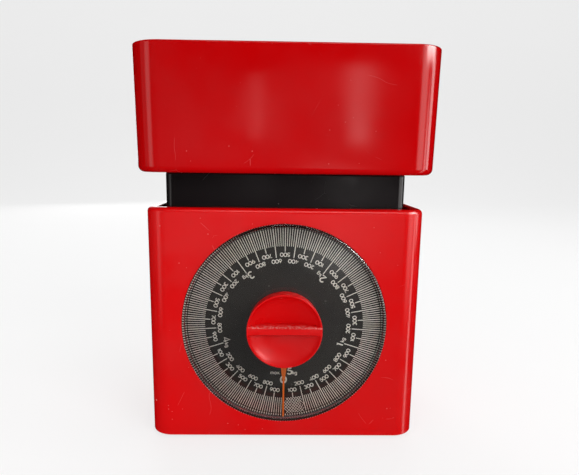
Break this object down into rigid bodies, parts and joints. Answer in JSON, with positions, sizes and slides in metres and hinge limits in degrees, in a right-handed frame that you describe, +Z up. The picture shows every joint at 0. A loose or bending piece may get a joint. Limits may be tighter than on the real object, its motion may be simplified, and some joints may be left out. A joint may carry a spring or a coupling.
{
  "type": "kitchen scale",
  "caption": "Spring kitchen scale: box housing with a round front dial, turning tare knob, sprung load platform and a lift-off rectangular bowl.",
  "frame": {"origin": "on the table, under the middle of the scale's overall outline", "axes": "+Z up, -Y out of the dial, +X to the right seen from the front"},
  "size_m": [0.17, 0.1287, 0.2266],
  "materials": {
    "red_gloss": "glossy moulded red plastic",
    "bowl_red": "glossy moulded red plastic, a little darker",
    "black_plastic": "satin black plastic",
    "knob_red": "glossy moulded red plastic",
    "clear_lens": "clear moulded plastic",
    "dial_print": "black printed aluminium with pale graduation",
    "pointer_orange": "orange plastic",
    "zinc_steel": "zinc-plated sheet steel",
    "spring_steel": "drawn spring wire",
    "brass": "turned brass",
    "grey_plastic": "grey moulded plastic",
    "foot_rubber": "soft black rubber",
    "screw_steel": "plated screw steel"
  },
  "bodies": {
    "base": {"base_shell": "red_gloss", "bottom_cover": "grey_plastic", "foot_front_left": "foot_rubber", "foot_front_right": "foot_rubber", "foot_back_right": "foot_rubber", "foot_back_left": "foot_rubber", "cover_screws": "screw_steel", "frame_screws": "screw_steel", "lens_retaining_ring": "grey_plastic", "ring_screws": "screw_steel", "mechanism_frame": "zinc_steel", "bearing_bracket": "zinc_steel", "bracket_screws": "screw_steel", "front_bush": "brass", "rear_bush": "brass", "spring_anchor_bar": "zinc_steel", "calibration_screw": "screw_steel", "calibration_nut": "screw_steel", "upper_pivot_pin": "screw_steel", "lower_pivot_pin": "screw_steel", "pivot_clips": "screw_steel"},
    "platform": {"platform_cover": "black_plastic", "carrier": "zinc_steel", "platform_screws": "screw_steel", "upper_carrier_pins": "screw_steel", "lower_carrier_pins": "screw_steel", "lower_spring_bar": "zinc_steel", "rack": "brass", "rack_pin": "screw_steel", "main_spring_left": "spring_steel", "main_spring_right": "spring_steel"},
    "upper_lever": {"upper_lever": "zinc_steel"},
    "lower_lever": {"lower_lever": "zinc_steel"},
    "dial": {"dial_disc": "dial_print", "dial_hub": "brass", "dial_shaft": "zinc_steel", "pinion": "brass"},
    "tare": {"lens": "clear_lens", "knob": "knob_red", "pointer": "pointer_orange", "knob_screw": "screw_steel"},
    "bowl": {"bowl": "bowl_red"}
  },
  "joints": [
    {"name": "platform_press", "type": "slide", "parent": "base", "child": "platform", "axis": [0, 0, -1], "range_m": [0, 0.01508], "stiffness_N_per_m": 3252.7, "springref_m": -0.0028, "deforming": ["main_spring_left", "main_spring_right"]},
    {"name": "dial_turn", "type": "hinge", "parent": "base", "child": "dial", "pos_m": [0, -0.04935, 0.0705], "axis": [0, 1, 0], "range_deg": [0, 360.01]},
    {"name": "upper_lever_swing", "type": "hinge", "parent": "base", "child": "upper_lever", "pos_m": [0, 0.03335, 0.092], "axis": [1, 0, 0], "range_deg": [0, 14.34]},
    {"name": "lower_lever_swing", "type": "hinge", "parent": "base", "child": "lower_lever", "pos_m": [0, 0.03335, 0.031], "axis": [1, 0, 0], "range_deg": [0, 14.34]},
    {"name": "tare_turn", "type": "hinge", "parent": "base", "child": "tare", "pos_m": [0, -0.05265, 0.0705], "axis": [0, 1, 0], "continuous": true},
    {"name": "bowl_lift", "type": "slide", "parent": "platform", "child": "bowl", "axis": [0, 0, 1], "range_m": [0, 0.12]}
  ],
  "couplings": [
    {"joint": "dial_turn", "follows": "platform_press", "rad_per_m": 416.67},
    {"joint": "upper_lever_swing", "follows": "platform_press", "rad_per_m": 16.58},
    {"joint": "lower_lever_swing", "follows": "platform_press", "rad_per_m": 16.58}
  ]
}
